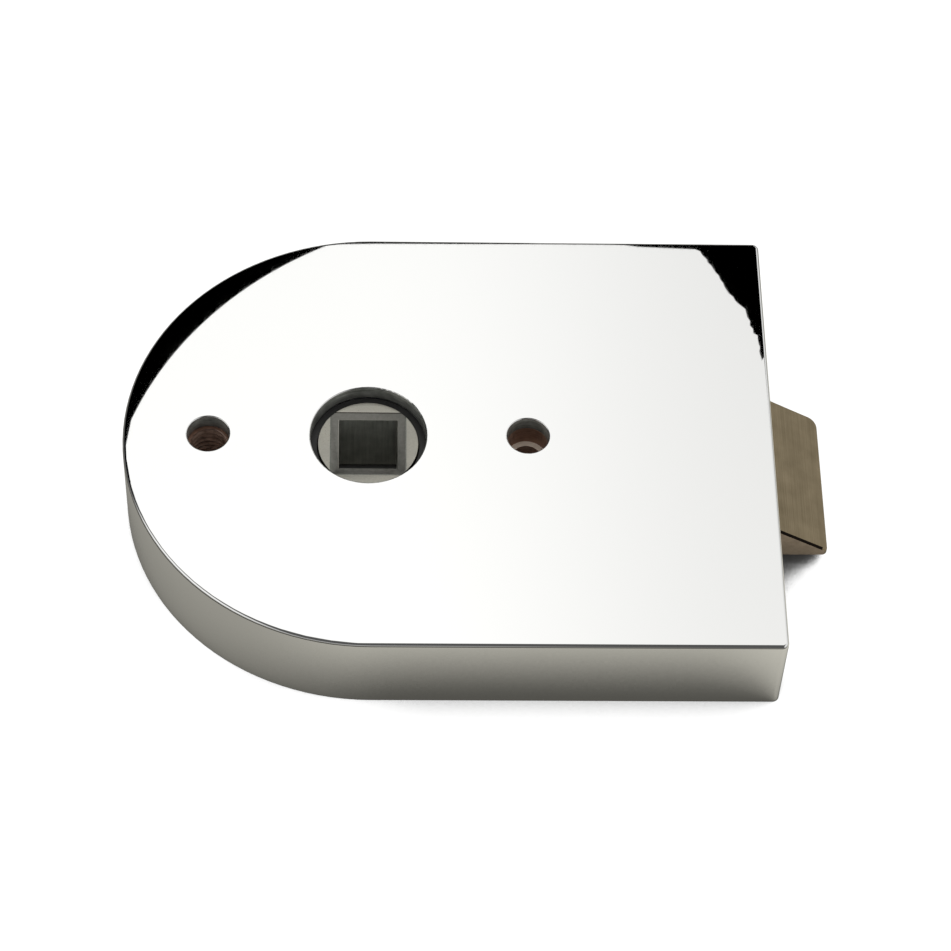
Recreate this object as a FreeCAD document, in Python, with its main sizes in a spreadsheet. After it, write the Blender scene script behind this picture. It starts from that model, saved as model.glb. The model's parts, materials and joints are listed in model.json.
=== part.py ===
import FreeCAD, Part
import math
import os
import Sketcher

# Surface latch lock for a glass door, in millimetres.
# The hub turns about Z, the lock lies on the glass at z = 0, and its latch points along +X.

os.makedirs("parts", exist_ok=True)
doc = FreeCAD.newDocument("glass_door_latch")

sizes = {
    # Cover, a D in outline: its round end is centred a little in front of the hub
    "cover_radius": "29.5",
    "round_offset": "0.4",
    "cover_length": "48.3",
    "cover_height": "12",
    "cover_wall": "2",
    "cover_face": "2",
    "cover_edge": "0.4",
    "cover_corner": "0.8",
    "hole_edge": "0.15",
    "hub_gap": "0.9",
    # Bosses inside the cover, for the screws that hold the back plate
    "boss_radius": "3.6",
    "boss_inset": "5.2",
    "boss_angle": "120",
    "screw_radius": "1.25",
    "screw_head_radius": "2.35",
    "screw_length": "6",
    "thread_runout": "0.5",
    "screw_slot_width": "0.6",
    "screw_slot_depth": "0.6",
    # Plates and pillars of the lock work
    "pad_thickness": "0.5",
    "plate_thickness": "1.5",
    "plate_gap": "0.15",
    "bearing_thickness": "1.5",
    "bearing_gap": "1",
    "bearing_front_gap": "1.5",
    "notch_gap": "0.6",
    "pillar_radius": "1.6",
    "tenon_radius": "1.1",
    "rear_pillar_shift": "4",
    "rear_pillar_gap": "0.8",
    # Fixing sleeves, one each side of the hub
    "fixing_pitch": "38",
    "fixing_radius": "2.5",
    "sleeve_wall": "1.5",
    "tapping_radius": "2.1",
    "passing_radius": "1.8",
    "sleeve_step_depth": "4.7",
    # Follower
    "socket_width": "7",
    "lead_width": "1",
    "lead_depth": "0.17",
    "neck_radius": "6",
    "follower_drop": "1.83",
    "flange_step": "1.2",
    "flange_thickness": "3",
    "arm_reach": "10",
    "arm_tip_radius": "2",
    "arm_width": "3",
    "bush_wall": "1",
    "bush_drop": "0.3",
    "washer_thickness": "0.3",
    # Latch bolt
    "latch_width": "19.4",
    "latch_offset": "-0.5",
    "latch_throw": "6.8",
    "latch_tip": "0.8",
    "bevel_angle": "33.5",
    "latch_far_round": "1.2",
    "latch_near_round": "0.6",
    "latch_edge": "0.3",
    "latch_tail": "14.5",
    "shoulder_width": "1.7",
    # Carriage behind the latch bolt
    "carriage_thickness": "1.5",
    "lug_margin": "1.8",
    "lug_length": "3.2",
    "carriage_rear": "2.3",
    "tongue_half_width": "8.5",
    "tongue_length": "6.2",
    "lug_thickness": "1.5",
    "rivet_radius": "1.25",
    "rivet_spread": "5",
    "rivet_back": "3.5",
    "rivet_length": "4",
    # Rails, springs and the bridge that backs them
    "rail_length": "18.3",
    "rail_width": "4.6",
    "rail_pillar_inset": "3.2",
    "bridge_thickness": "1.5",
    "bridge_gap": "0.3",
    "bridge_margin": "2.5",
    "tab_half_width": "3.4",
    "spring_side": "8",
    "spring_radius": "1.8",
    "spring_wire": "0.35",
    "spring_turns": "11",
    "spring_seat_depth": "2",
    "guide_gap": "0.25",
    "guide_length": "12",
    # Clearances
    "slide_clearance": "0.1",
    "run_clearance": "0.05",
    "seat_clearance": "0.02",
    "stop_clearance": "0.2",
    "carriage_clearance": "0.2",
    "lug_clearance": "0.15",
    "spring_clearance": "0.2",
}
sheet = doc.addObject("Spreadsheet::Sheet", "Sizes")
for row, (alias, number) in enumerate(sizes.items(), start=1):
    sheet.set(f"A{row}", alias)
    sheet.set(f"B{row}", number)
    sheet.setAlias(f"B{row}", alias)
doc.recompute()

# Levels up from the glass
plate_top = "(Sizes.pad_thickness + Sizes.plate_thickness)"
slide_level = f"({plate_top} + Sizes.slide_clearance)"
carriage_top = f"({slide_level} + Sizes.carriage_thickness)"
flange_level = f"({carriage_top} + 2 * Sizes.slide_clearance)"
flange_top = f"({flange_level} + Sizes.flange_thickness)"
washer_level = f"({flange_top} + Sizes.slide_clearance)"
washer_top = f"({washer_level} + Sizes.washer_thickness)"
roof = "(Sizes.cover_height - Sizes.cover_face)"
bearing_level = f"({roof} - Sizes.bearing_thickness)"
latch_top = f"({bearing_level} - Sizes.slide_clearance)"
spring_level = f"(({carriage_top} + {latch_top}) / 2)"
hub_bottom = "(Sizes.pad_thickness + Sizes.slide_clearance)"
hub_top = "(Sizes.cover_height - Sizes.follower_drop)"
step_level = "(Sizes.cover_height - Sizes.sleeve_step_depth)"

# Distances across the lock
half_pitch = "(Sizes.fixing_pitch / 2)"
hub_opening = "(Sizes.neck_radius + Sizes.hub_gap)"
flange_radius = "(Sizes.neck_radius + Sizes.flange_step)"
sleeve_radius = "(Sizes.fixing_radius + Sizes.sleeve_wall)"
guide_radius = "(Sizes.spring_radius - Sizes.spring_wire - Sizes.guide_gap)"
wall_inside = "(Sizes.cover_length - Sizes.cover_wall)"
bolt_rear = "(Sizes.cover_length - Sizes.latch_tail)"
bolt_tip = "(Sizes.cover_length + Sizes.latch_throw)"
shoulder_front = f"({wall_inside} - Sizes.stop_clearance)"
bevel_start = (
    f"({bolt_tip} - ({latch_top} - {slide_level} - Sizes.latch_tip) / tan(Sizes.bevel_angle))"
)
tongue_front = f"({bolt_rear} + Sizes.tongue_length)"
rivet_place = f"({bolt_rear} + Sizes.rivet_back)"
bush_radius = "(Sizes.neck_radius + Sizes.run_clearance + Sizes.bush_wall)"
window_radius = f"({bush_radius} + Sizes.carriage_clearance)"
window_front = f"({window_radius} + Sizes.latch_throw)"
slot_radius = f"({sleeve_radius} + Sizes.carriage_clearance)"
slot_end = f"({half_pitch} + Sizes.latch_throw + Sizes.carriage_clearance)"
lug_face = "(Sizes.latch_throw / 2 - Sizes.arm_tip_radius - Sizes.lug_clearance)"
carriage_half_width = "(Sizes.arm_reach + Sizes.lug_margin)"
bridge_front = f"({half_pitch} - {sleeve_radius} - Sizes.bridge_gap)"
bridge_rear = f"({bridge_front} - Sizes.bridge_thickness)"
rail_rear = f"({shoulder_front} - Sizes.rail_length)"
rail_inner = "(Sizes.latch_width / 2 + Sizes.shoulder_width + Sizes.slide_clearance)"
rail_middle = f"({rail_inner} + Sizes.rail_width / 2)"

# How far the arms lean from square at rest, as a sine and a cosine
lean_across = "(Sizes.latch_throw / (2 * Sizes.arm_reach))"
lean_along = f"cos(asin({lean_across}))"

parts = []


def number_of(expression):
    return float(sheet.evalExpression(expression))


def new_body(name):
    body = doc.addObject("PartDesign::Body", name)
    body.Label = name
    parts.append(body)
    return body


def add_sketch(body, plane, height="0"):
    origin_plane = next(f for f in body.Origin.OriginFeatures if f.Role == plane)
    sketch = body.newObject("Sketcher::SketchObject", body.Name + "_sketch")
    sketch.AttachmentSupport = [(origin_plane, "")]
    sketch.MapMode = "FlatFace"
    if height != "0":
        sketch.setExpression("AttachmentOffset.Base.z", height)
    return sketch


def tie(sketch, kind, *where, size):
    index = sketch.addConstraint(Sketcher.Constraint(kind, *where, number_of(size)))
    sketch.setExpression(f"Constraints[{index}]", size)


def hold(sketch, geometry, point, across, along):
    # A point on an axis of the sketch is put on that axis, any other at its two distances
    if across == "0":
        sketch.addConstraint(Sketcher.Constraint("PointOnObject", geometry, point, -2))
    else:
        tie(sketch, "DistanceX", -1, 1, geometry, point, size=across)
    if along == "0":
        sketch.addConstraint(Sketcher.Constraint("PointOnObject", geometry, point, -1))
    else:
        tie(sketch, "DistanceY", -1, 1, geometry, point, size=along)


def add_circle(sketch, across, along, radius):
    centre = FreeCAD.Vector(number_of(across), number_of(along), 0)
    circle = Part.Circle(centre, FreeCAD.Vector(0, 0, 1), number_of(radius))
    index = sketch.addGeometry(circle)
    hold(sketch, index, 3, across, along)
    tie(sketch, "Radius", index, size=radius)


def add_polygon(sketch, corners):
    places = [FreeCAD.Vector(number_of(x), number_of(y), 0) for x, y in corners]
    lines = []
    for start, end in zip(places, places[1:] + places[:1]):
        lines.append(sketch.addGeometry(Part.LineSegment(start, end)))
    for line, following in zip(lines, lines[1:] + lines[:1]):
        sketch.addConstraint(Sketcher.Constraint("Coincident", line, 2, following, 1))
    for line, (across, along) in zip(lines, corners):
        hold(sketch, line, 1, across, along)


def add_rectangle(sketch, left, right, low, high):
    add_polygon(sketch, [(left, low), (right, low), (right, high), (left, high)])


def add_d(sketch, centre, radius, flat):
    # A half-round about the centre, closed by two straight sides and a flat end across them
    middle, reach, end = number_of(centre), number_of(radius), number_of(flat)
    first = math.pi / 2 if end > middle else -math.pi / 2
    circle = Part.Circle(FreeCAD.Vector(middle, 0, 0), FreeCAD.Vector(0, 0, 1), reach)
    arc = sketch.addGeometry(Part.ArcOfCircle(circle, first, first + math.pi))
    up = reach if end > middle else -reach
    corners = [(middle, -up), (end, -up), (end, up), (middle, up)]
    places = [FreeCAD.Vector(x, y, 0) for x, y in corners]
    lines = []
    for start, stop in zip(places, places[1:]):
        lines.append(sketch.addGeometry(Part.LineSegment(start, stop)))
    chain = [arc] + lines + [arc]
    for line, following in zip(chain, chain[1:]):
        sketch.addConstraint(Sketcher.Constraint("Coincident", line, 2, following, 1))
    for end_point in (1, 2):
        sketch.addConstraint(Sketcher.Constraint("Vertical", arc, end_point, arc, 3))
    sketch.addConstraint(Sketcher.Constraint("Horizontal", lines[0]))
    sketch.addConstraint(Sketcher.Constraint("Vertical", lines[1]))
    sketch.addConstraint(Sketcher.Constraint("Horizontal", lines[2]))
    hold(sketch, arc, 3, centre, "0")
    tie(sketch, "Radius", arc, size=radius)
    tie(sketch, "DistanceX", -1, 1, lines[1], 1, size=flat)


def pad(body, sketch, length, symmetric=False):
    feature = body.newObject("PartDesign::Pad", body.Name + "_pad")
    feature.Profile = sketch
    feature.setExpression("Length", length)
    if symmetric:
        feature.SideType = "Symmetric"
    doc.recompute()
    return feature


def pocket(body, sketch, length=None, forward=False, symmetric=False):
    # Cuts against the sketch's normal, or along it when forward; through all with no length
    before = body.Shape.Volume
    feature = body.newObject("PartDesign::Pocket", body.Name + "_pocket")
    feature.Profile = sketch
    feature.Reversed = forward
    if symmetric:
        feature.SideType = "Symmetric"
    if length is None:
        feature.Type = "ThroughAll"
    else:
        feature.setExpression("Length", length)
    doc.recompute()
    if body.Shape.Volume >= before:
        raise RuntimeError(f"a pocket of {body.Label} cuts nothing")
    return feature


def round_edges(body, wanted, radius):
    names = [f"Edge{i}" for i, edge in enumerate(body.Shape.Edges, start=1) if wanted(edge)]
    base = body.Tip
    feature = body.newObject("PartDesign::Fillet", body.Name + "_fillet")
    feature.Base = (base, names)
    feature.setExpression("Radius", radius)
    doc.recompute()
    return feature


def upright_at(across, along=None):
    # Picks the edges parallel to Z that stand at the given place
    place_x = number_of(across)
    place_y = None if along is None else number_of(along)

    def wanted(edge):
        ends = [vertex.Point for vertex in edge.Vertexes]
        if len(ends) != 2 or abs(ends[0].z - ends[1].z) < 0.1:
            return False
        if any(abs(end.x - place_x) > 0.001 for end in ends):
            return False
        return place_y is None or all(abs(end.y - place_y) < 0.001 for end in ends)

    return wanted


def level_at(height):
    level = number_of(height)

    def wanted(edge):
        return all(abs(vertex.Z - level) < 0.001 for vertex in edge.Vertexes)

    return wanted


def rims_at(height):
    at_level = level_at(height)

    def wanted(edge):
        return len(edge.Vertexes) == 1 and at_level(edge)

    return wanted


def rim_of_the_slope(edge):
    # Picks the edges that lie in the latch's bevelled face, but the one at its root
    slope = math.tan(math.radians(number_of("Sizes.bevel_angle")))
    root = number_of(bevel_start)
    top = number_of(latch_top)
    points = edge.discretize(3)
    on_it = all(abs(top - slope * (point.x - root) - point.z) < 0.001 for point in points)
    return on_it and any(point.x > root + 0.001 for point in points)


def add_ring(body, across, outer, inner, low, high):
    sketch = add_sketch(body, "XY_Plane", low)
    add_circle(sketch, across, "0", outer)
    add_circle(sketch, across, "0", inner)
    pad(body, sketch, f"{high} - {low}")


def mirrored(value, side):
    return value if side > 0 else f"(-{value})"


# Places that several pieces share
boss_side = "(Sizes.cover_radius - Sizes.boss_inset)"
rear_boss = f"(Sizes.round_offset + {boss_side} * cos(Sizes.boss_angle))"


def boss_places():
    front = "(Sizes.cover_length - Sizes.boss_inset)"
    rear_side = f"({boss_side} * sin(Sizes.boss_angle))"
    for sign in (1, -1):
        yield front, mirrored(boss_side, sign)
        yield rear_boss, mirrored(rear_side, sign)


def rail_pillar_places(side):
    along = f"(Sizes.latch_offset + {mirrored(rail_middle, side)})"
    yield f"({rail_rear} + Sizes.rail_pillar_inset)", along
    yield f"({shoulder_front} - Sizes.rail_pillar_inset)", along


def pillar_places():
    # The rear pair stands between the carriage's path and the cover's rear bosses
    along = f"({carriage_half_width} + Sizes.rear_pillar_gap + Sizes.pillar_radius)"
    for side in (1, -1):
        yield f"({rear_boss} + Sizes.rear_pillar_shift)", mirrored(along, side)
        yield from rail_pillar_places(side)


def spring_places():
    for side in (1, -1):
        yield f"(Sizes.latch_offset + {mirrored('Sizes.spring_side', side)})"


def make_cover():
    body = new_body("cover")
    outline = add_sketch(body, "XY_Plane")
    add_d(outline, "Sizes.round_offset", "Sizes.cover_radius", "Sizes.cover_length")
    pad(body, outline, "Sizes.cover_height")
    round_edges(body, upright_at("Sizes.cover_length"), "Sizes.cover_corner")
    round_edges(body, level_at("Sizes.cover_height"), "Sizes.cover_edge")
    hollow = add_sketch(body, "XY_Plane")
    add_d(hollow, "Sizes.round_offset", "Sizes.cover_radius - Sizes.cover_wall", wall_inside)
    pocket(body, hollow, roof, forward=True)
    bosses = add_sketch(body, "XY_Plane", plate_top)
    for across, along in boss_places():
        add_circle(bosses, across, along, "Sizes.boss_radius")
    pad(body, bosses, f"{roof} - {plate_top}")
    threads = add_sketch(body, "XY_Plane", plate_top)
    for across, along in boss_places():
        add_circle(threads, across, along, "Sizes.screw_radius + Sizes.run_clearance")
    pocket(body, threads, "Sizes.screw_length - Sizes.plate_thickness + Sizes.thread_runout", forward=True)
    holes = add_sketch(body, "XY_Plane", "Sizes.cover_height")
    add_circle(holes, "0", "0", hub_opening)
    for side in (1, -1):
        add_circle(holes, mirrored(half_pitch, side), "0", "Sizes.fixing_radius")
    pocket(body, holes)
    round_edges(body, rims_at("Sizes.cover_height"), "Sizes.hole_edge")
    window = add_sketch(body, "YZ_Plane", "Sizes.cover_length")
    half = "(Sizes.latch_width / 2 + Sizes.slide_clearance)"
    add_rectangle(
        window,
        f"Sizes.latch_offset - {half}",
        f"Sizes.latch_offset + {half}",
        plate_top,
        bearing_level,
    )
    pocket(body, window, "Sizes.cover_wall")


def add_plate_outline(sketch):
    inner = "(Sizes.cover_radius - Sizes.cover_wall - Sizes.plate_gap)"
    add_d(sketch, "Sizes.round_offset", inner, f"({wall_inside} - Sizes.plate_gap)")


def add_bridge_slot(sketch):
    add_rectangle(
        sketch,
        f"{bridge_rear} - Sizes.run_clearance",
        f"{bridge_front} + Sizes.run_clearance",
        "-(Sizes.tab_half_width + Sizes.run_clearance)",
        "Sizes.tab_half_width + Sizes.run_clearance",
    )


def add_shared_holes(sketch):
    # What both plates carry: the bush, the two sleeves, the pillars and the bridge
    add_circle(sketch, "0", "0", f"{bush_radius} + Sizes.seat_clearance")
    for side in (1, -1):
        add_circle(
            sketch,
            mirrored(half_pitch, side),
            "0",
            f"{sleeve_radius} + Sizes.seat_clearance",
        )
    for across, along in pillar_places():
        add_circle(sketch, across, along, "Sizes.tenon_radius + Sizes.seat_clearance")
    add_bridge_slot(sketch)


def make_back_plate():
    body = new_body("back_plate")
    outline = add_sketch(body, "XY_Plane", "Sizes.pad_thickness")
    add_plate_outline(outline)
    pad(body, outline, "Sizes.plate_thickness")
    holes = add_sketch(body, "XY_Plane", plate_top)
    add_shared_holes(holes)
    for across, along in boss_places():
        add_circle(holes, across, along, "Sizes.screw_radius + Sizes.run_clearance")
    pocket(body, holes)
    for across, along in boss_places():
        sink = body.newObject("PartDesign::SubtractiveCone", "countersink")
        sink.setExpression("Radius1", "Sizes.screw_head_radius + Sizes.run_clearance")
        sink.setExpression("Radius2", "Sizes.screw_radius + Sizes.run_clearance")
        sink.setExpression("Height", "Sizes.screw_head_radius - Sizes.screw_radius")
        sink.setExpression("Placement.Base.x", across)
        sink.setExpression("Placement.Base.y", along)
        sink.setExpression("Placement.Base.z", "Sizes.pad_thickness")
        doc.recompute()


def make_glass_pad():
    body = new_body("glass_pad")
    outline = add_sketch(body, "XY_Plane")
    add_plate_outline(outline)
    pad(body, outline, "Sizes.pad_thickness")
    holes = add_sketch(body, "XY_Plane", "Sizes.pad_thickness")
    add_circle(holes, "0", "0", hub_opening)
    for side in (1, -1):
        add_circle(holes, mirrored(half_pitch, side), "0", "Sizes.fixing_radius")
    for across, along in boss_places():
        add_circle(holes, across, along, "Sizes.screw_head_radius + Sizes.plate_gap")
    pocket(body, holes)


def make_cover_screws():
    body = new_body("cover_screws")
    shanks = add_sketch(body, "XY_Plane", "Sizes.pad_thickness")
    for across, along in boss_places():
        add_circle(shanks, across, along, "Sizes.screw_radius")
    pad(body, shanks, "Sizes.screw_length")
    for across, along in boss_places():
        head = body.newObject("PartDesign::AdditiveCone", "screw_head")
        head.setExpression("Radius1", "Sizes.screw_head_radius")
        head.setExpression("Radius2", "Sizes.screw_radius")
        head.setExpression("Height", "Sizes.screw_head_radius - Sizes.screw_radius")
        head.setExpression("Placement.Base.x", across)
        head.setExpression("Placement.Base.y", along)
        head.setExpression("Placement.Base.z", "Sizes.pad_thickness")
        doc.recompute()
    slots = add_sketch(body, "XY_Plane", "Sizes.pad_thickness")
    for across, along in boss_places():
        add_rectangle(
            slots,
            f"{across} - Sizes.screw_head_radius",
            f"{across} + Sizes.screw_head_radius",
            f"{along} - Sizes.screw_slot_width / 2",
            f"{along} + Sizes.screw_slot_width / 2",
        )
    pocket(body, slots, "Sizes.screw_slot_depth", forward=True)


def make_bearing_plate():
    # A smaller D than the back plate, notched round the cover's bosses
    body = new_body("bearing_plate")
    radius = "(Sizes.cover_radius - Sizes.cover_wall - Sizes.bearing_gap)"
    outline = add_sketch(body, "XY_Plane", bearing_level)
    add_d(outline, "Sizes.round_offset", radius, f"({wall_inside} - Sizes.bearing_front_gap)")
    pad(body, outline, "Sizes.bearing_thickness")
    notches = add_sketch(body, "XY_Plane", roof)
    for across, along in boss_places():
        add_circle(notches, across, along, "Sizes.boss_radius + Sizes.notch_gap")
    pocket(body, notches)
    holes = add_sketch(body, "XY_Plane", roof)
    add_shared_holes(holes)
    pocket(body, holes)


def make_spacer_pillars():
    body = new_body("spacer_pillars")
    lengths = [
        ("Sizes.tenon_radius", "Sizes.pad_thickness", plate_top),
        ("Sizes.pillar_radius", plate_top, bearing_level),
        ("Sizes.tenon_radius", bearing_level, roof),
    ]
    for radius, low, high in lengths:
        sketch = add_sketch(body, "XY_Plane", low)
        for across, along in pillar_places():
            add_circle(sketch, across, along, radius)
        pad(body, sketch, f"{high} - {low}")


def make_fixing_sleeves():
    # The rear one is tapped for the handle's screw, and the front one steps in round the other
    rear = new_body("rear_fixing_sleeve")
    low = "Sizes.pad_thickness"
    add_ring(rear, f"(-{half_pitch})", sleeve_radius, "Sizes.tapping_radius", low, roof)
    front = new_body("front_fixing_sleeve")
    add_ring(front, half_pitch, sleeve_radius, "Sizes.passing_radius", low, roof)
    mouth = add_sketch(front, "XY_Plane", step_level)
    add_circle(mouth, half_pitch, "0", "Sizes.fixing_radius")
    pocket(front, mouth, f"{roof} - {step_level}", forward=True)


def make_follower():
    body = new_body("follower")
    neck = add_sketch(body, "XY_Plane", hub_bottom)
    add_circle(neck, "0", "0", "Sizes.neck_radius")
    pad(body, neck, f"{hub_top} - {hub_bottom}")
    flange = add_sketch(body, "XY_Plane", flange_level)
    add_circle(flange, "0", "0", flange_radius)
    pad(body, flange, "Sizes.flange_thickness")
    half = "(Sizes.arm_width / 2)"
    for side in (1, -1):
        along = mirrored(lean_along, side)
        tip = (f"Sizes.arm_reach * {lean_across}", f"Sizes.arm_reach * {along}")
        beside = (f"({half} * {along})", f"({half} * {lean_across})")
        arm = add_sketch(body, "XY_Plane", flange_level)
        corners = [
            (beside[0], f"-{beside[1]}"),
            (f"{tip[0]} + {beside[0]}", f"{tip[1]} - {beside[1]}"),
            (f"{tip[0]} - {beside[0]}", f"{tip[1]} + {beside[1]}"),
            (f"-{beside[0]}", beside[1]),
        ]
        add_polygon(arm, corners)
        pad(body, arm, "Sizes.flange_thickness")
        knob = add_sketch(body, "XY_Plane", flange_level)
        add_circle(knob, *tip, "Sizes.arm_tip_radius")
        pad(body, knob, "Sizes.flange_thickness")
    half_socket = "(Sizes.socket_width / 2)"
    half_mouth = f"({half_socket} + Sizes.lead_width)"
    socket = add_sketch(body, "XY_Plane", hub_top)
    add_rectangle(socket, f"-{half_socket}", half_socket, f"-{half_socket}", half_socket)
    pocket(body, socket)
    ends = [
        (hub_top, f"{hub_top} - Sizes.lead_depth"),
        (hub_bottom, f"{hub_bottom} + Sizes.lead_depth"),
    ]
    for outer_level, inner_level in ends:
        mouth = add_sketch(body, "XY_Plane", outer_level)
        add_rectangle(mouth, f"-{half_mouth}", half_mouth, f"-{half_mouth}", half_mouth)
        inner = add_sketch(body, "XY_Plane", inner_level)
        add_rectangle(inner, f"-{half_socket}", half_socket, f"-{half_socket}", half_socket)
        lead = body.newObject("PartDesign::SubtractiveLoft", "lead_in")
        lead.Profile = mouth
        lead.Sections = [inner]
        lead.Ruled = True
        doc.recompute()


def make_bushes_and_washer():
    bore = "(Sizes.neck_radius + Sizes.run_clearance)"
    lower = new_body("lower_follower_bush")
    lower_top = f"({flange_level} - Sizes.slide_clearance)"
    add_ring(lower, "0", bush_radius, bore, "Sizes.pad_thickness", lower_top)
    upper = new_body("upper_follower_bush")
    upper_top = f"({roof} - Sizes.bush_drop)"
    add_ring(upper, "0", bush_radius, bore, washer_top, upper_top)
    washer = new_body("follower_washer")
    washer_bore = "(Sizes.neck_radius + Sizes.slide_clearance)"
    add_ring(washer, "0", flange_radius, washer_bore, washer_level, washer_top)


def make_latch_bolt():
    body = new_body("latch_bolt")
    near = "(Sizes.latch_offset - Sizes.latch_width / 2)"
    far = "(Sizes.latch_offset + Sizes.latch_width / 2)"
    outline = add_sketch(body, "XY_Plane", slide_level)
    add_rectangle(outline, bolt_rear, bolt_tip, near, far)
    pad(body, outline, f"{latch_top} - {slide_level}")
    round_edges(body, upright_at(bolt_tip, far), "Sizes.latch_far_round")
    round_edges(body, upright_at(bolt_tip, near), "Sizes.latch_near_round")
    shoulders = add_sketch(body, "XY_Plane", slide_level)
    add_rectangle(
        shoulders,
        bolt_rear,
        shoulder_front,
        f"{near} - Sizes.shoulder_width",
        f"{far} + Sizes.shoulder_width",
    )
    pad(body, shoulders, f"{latch_top} - {slide_level}")
    bevel = add_sketch(body, "XZ_Plane")
    corners = [
        (bolt_tip, f"{slide_level} + Sizes.latch_tip"),
        (bolt_tip, latch_top),
        (bevel_start, latch_top),
    ]
    add_polygon(bevel, corners)
    pocket(body, bevel, "2 * Sizes.cover_radius", symmetric=True)
    round_edges(body, rim_of_the_slope, "Sizes.latch_edge")
    rebate = add_sketch(body, "XZ_Plane")
    add_rectangle(rebate, bolt_rear, tongue_front, slide_level, carriage_top)
    pocket(body, rebate, "2 * Sizes.cover_radius", symmetric=True)
    seats = add_sketch(body, "YZ_Plane", bolt_rear)
    for along in spring_places():
        add_circle(seats, along, spring_level, "Sizes.spring_radius + Sizes.spring_clearance")
    pocket(body, seats, "Sizes.spring_seat_depth", forward=True)
    rivets = add_sketch(body, "XY_Plane", carriage_top)
    for side in (1, -1):
        along = f"Sizes.latch_offset + {mirrored('Sizes.rivet_spread', side)}"
        add_circle(rivets, rivet_place, along, "Sizes.rivet_radius + Sizes.seat_clearance")
    depth = "Sizes.rivet_length - Sizes.carriage_thickness"
    pocket(body, rivets, depth, forward=True)


def make_latch_carriage():
    body = new_body("latch_carriage")
    rear = f"(-({window_radius} + Sizes.carriage_rear))"
    outline = add_sketch(body, "XY_Plane", slide_level)
    wide = carriage_half_width
    narrow = "Sizes.tongue_half_width"
    corners = [
        (rear, f"-{wide}"),
        (window_front, f"-{wide}"),
        (slot_end, f"-{narrow}"),
        (tongue_front, f"-{narrow}"),
        (tongue_front, narrow),
        (slot_end, narrow),
        (window_front, wide),
        (rear, wide),
    ]
    add_polygon(outline, corners)
    pad(body, outline, "Sizes.carriage_thickness")
    window = add_sketch(body, "XY_Plane", carriage_top)
    add_d(window, "0", window_radius, window_front)
    pocket(body, window)
    slot = add_sketch(body, "XY_Plane", carriage_top)
    add_d(slot, slot_end, slot_radius, window_radius)
    pocket(body, slot)
    # The fork is open at the rear, where the other sleeve stands between its ends
    opening = add_sketch(body, "XY_Plane", carriage_top)
    add_rectangle(opening, rear, f"(-{slot_radius})", f"-{slot_radius}", slot_radius)
    pocket(body, opening)
    rivets = add_sketch(body, "XY_Plane", carriage_top)
    for side in (1, -1):
        along = f"Sizes.latch_offset + {mirrored('Sizes.rivet_spread', side)}"
        add_circle(rivets, rivet_place, along, "Sizes.rivet_radius + Sizes.seat_clearance")
    pocket(body, rivets)
    lugs = add_sketch(body, "XY_Plane", carriage_top)
    for side in (1, -1):
        lug_inner = f"({wide} - Sizes.lug_length)"
        ends = sorted([mirrored(lug_inner, side), mirrored(wide, side)], key=number_of)
        add_rectangle(lugs, f"{lug_face} - Sizes.lug_thickness", lug_face, *ends)
    pad(body, lugs, f"{flange_top} - {carriage_top}")


def make_latch_rivets():
    body = new_body("latch_rivets")
    sketch = add_sketch(body, "XY_Plane", slide_level)
    for side in (1, -1):
        along = f"Sizes.latch_offset + {mirrored('Sizes.rivet_spread', side)}"
        add_circle(sketch, rivet_place, along, "Sizes.rivet_radius")
    pad(body, sketch, "Sizes.rivet_length")


def make_latch_rail(name, side):
    body = new_body(name)
    inner = f"(Sizes.latch_offset + {mirrored(rail_inner, side)})"
    outer = f"(Sizes.latch_offset + {mirrored(f'({rail_inner} + Sizes.rail_width)', side)})"
    outline = add_sketch(body, "XY_Plane", plate_top)
    ends = sorted([inner, outer], key=number_of)
    add_rectangle(outline, rail_rear, shoulder_front, *ends)
    pad(body, outline, f"{bearing_level} - {plate_top}")
    holes = add_sketch(body, "XY_Plane", bearing_level)
    for across, along in rail_pillar_places(side):
        add_circle(holes, across, along, "Sizes.pillar_radius + Sizes.seat_clearance")
    pocket(body, holes)


def make_spring_bridge():
    body = new_body("spring_bridge")
    low = f"({carriage_top} + Sizes.stop_clearance)"
    reach = "(Sizes.spring_side + Sizes.bridge_margin)"
    left = f"(Sizes.latch_offset - {reach})"
    right = f"(Sizes.latch_offset + {reach})"
    tab = "Sizes.tab_half_width"
    corners = [
        (left, low),
        (f"-{tab}", low),
        (f"-{tab}", "Sizes.pad_thickness"),
        (tab, "Sizes.pad_thickness"),
        (tab, low),
        (right, low),
        (right, bearing_level),
        (tab, bearing_level),
        (tab, roof),
        (f"-{tab}", roof),
        (f"-{tab}", bearing_level),
        (left, bearing_level),
    ]
    outline = add_sketch(body, "YZ_Plane", bridge_rear)
    add_polygon(outline, corners)
    pad(body, outline, "Sizes.bridge_thickness")
    holes = add_sketch(body, "YZ_Plane", bridge_front)
    for along in spring_places():
        add_circle(holes, along, spring_level, f"{guide_radius} + Sizes.seat_clearance")
    pocket(body, holes)


def make_spring_guide(name, along):
    body = new_body(name)
    sketch = add_sketch(body, "YZ_Plane", bridge_rear)
    add_circle(sketch, along, spring_level, guide_radius)
    pad(body, sketch, "Sizes.bridge_thickness + Sizes.guide_length")


def two_arcs(start, start_way, end, end_way):
    # The pair of arcs that leaves start and reaches end along the given directions
    chord = end - start
    ways = start_way + end_way
    square = 2 * (start_way.dot(end_way) - 1)
    straight = -2 * chord.dot(ways)
    reach = chord.dot(chord)
    root = math.sqrt(straight * straight - 4 * square * reach)
    handle = (-straight - root) / (2 * square)
    first_corner = start + start_way * handle
    second_corner = end - end_way * handle
    joint = (first_corner + second_corner) * 0.5
    return [
        arc_between(start, first_corner, joint),
        arc_between(joint, second_corner, end),
    ]


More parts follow.
